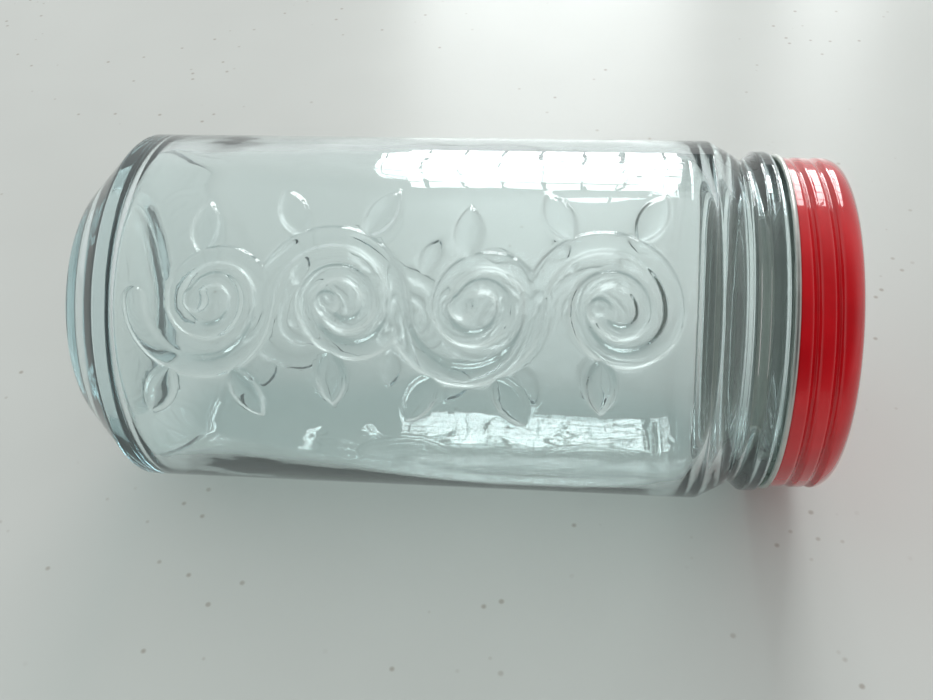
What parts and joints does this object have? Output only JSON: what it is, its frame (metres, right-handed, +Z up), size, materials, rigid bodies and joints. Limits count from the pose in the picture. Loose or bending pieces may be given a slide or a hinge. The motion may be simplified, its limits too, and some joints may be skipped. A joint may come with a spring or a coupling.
{
  "type": "coin bank jar",
  "caption": "Clear moulded glass jar with a raised vine scroll, a heel chamfer and a screw neck, closed by a lacquered tinplate lid with a coin slot.",
  "frame": {"origin": "middle of the base, on the plane that the jar stands on", "axes": "+Z up the jar's axis to the lid, -Y towards the front relief, +X to the right of the front"},
  "size_m": [0.096, 0.0984, 0.1963],
  "materials": {
    "clear_glass": "clear soda-lime glass with a faint blue-green tint in thick edges",
    "lacquered_tinplate": "glossy red lacquer outside, bare tin inside and on the rolled hem",
    "sealing_compound": "soft off-white sealing ring"
  },
  "bodies": {
    "jar": {"glass_jar": "clear_glass"},
    "ring": {"sealing_ring": "sealing_compound"},
    "lid": {"lid_shell": "lacquered_tinplate"}
  },
  "joints": [
    {"name": "lid_rise", "type": "slide", "parent": "jar", "child": "ring", "axis": [0, 0, 1], "range_m": [0, 0.0178]},
    {"name": "lid_turn", "type": "hinge", "parent": "ring", "child": "lid", "pos_m": [0, 0, 0.1895], "axis": [0, 0, 1], "range_deg": [0, 1260]}
  ],
  "couplings": [
    {"joint": "lid_rise", "follows": "lid_turn", "m_per_rad": 0.00080851}
  ]
}
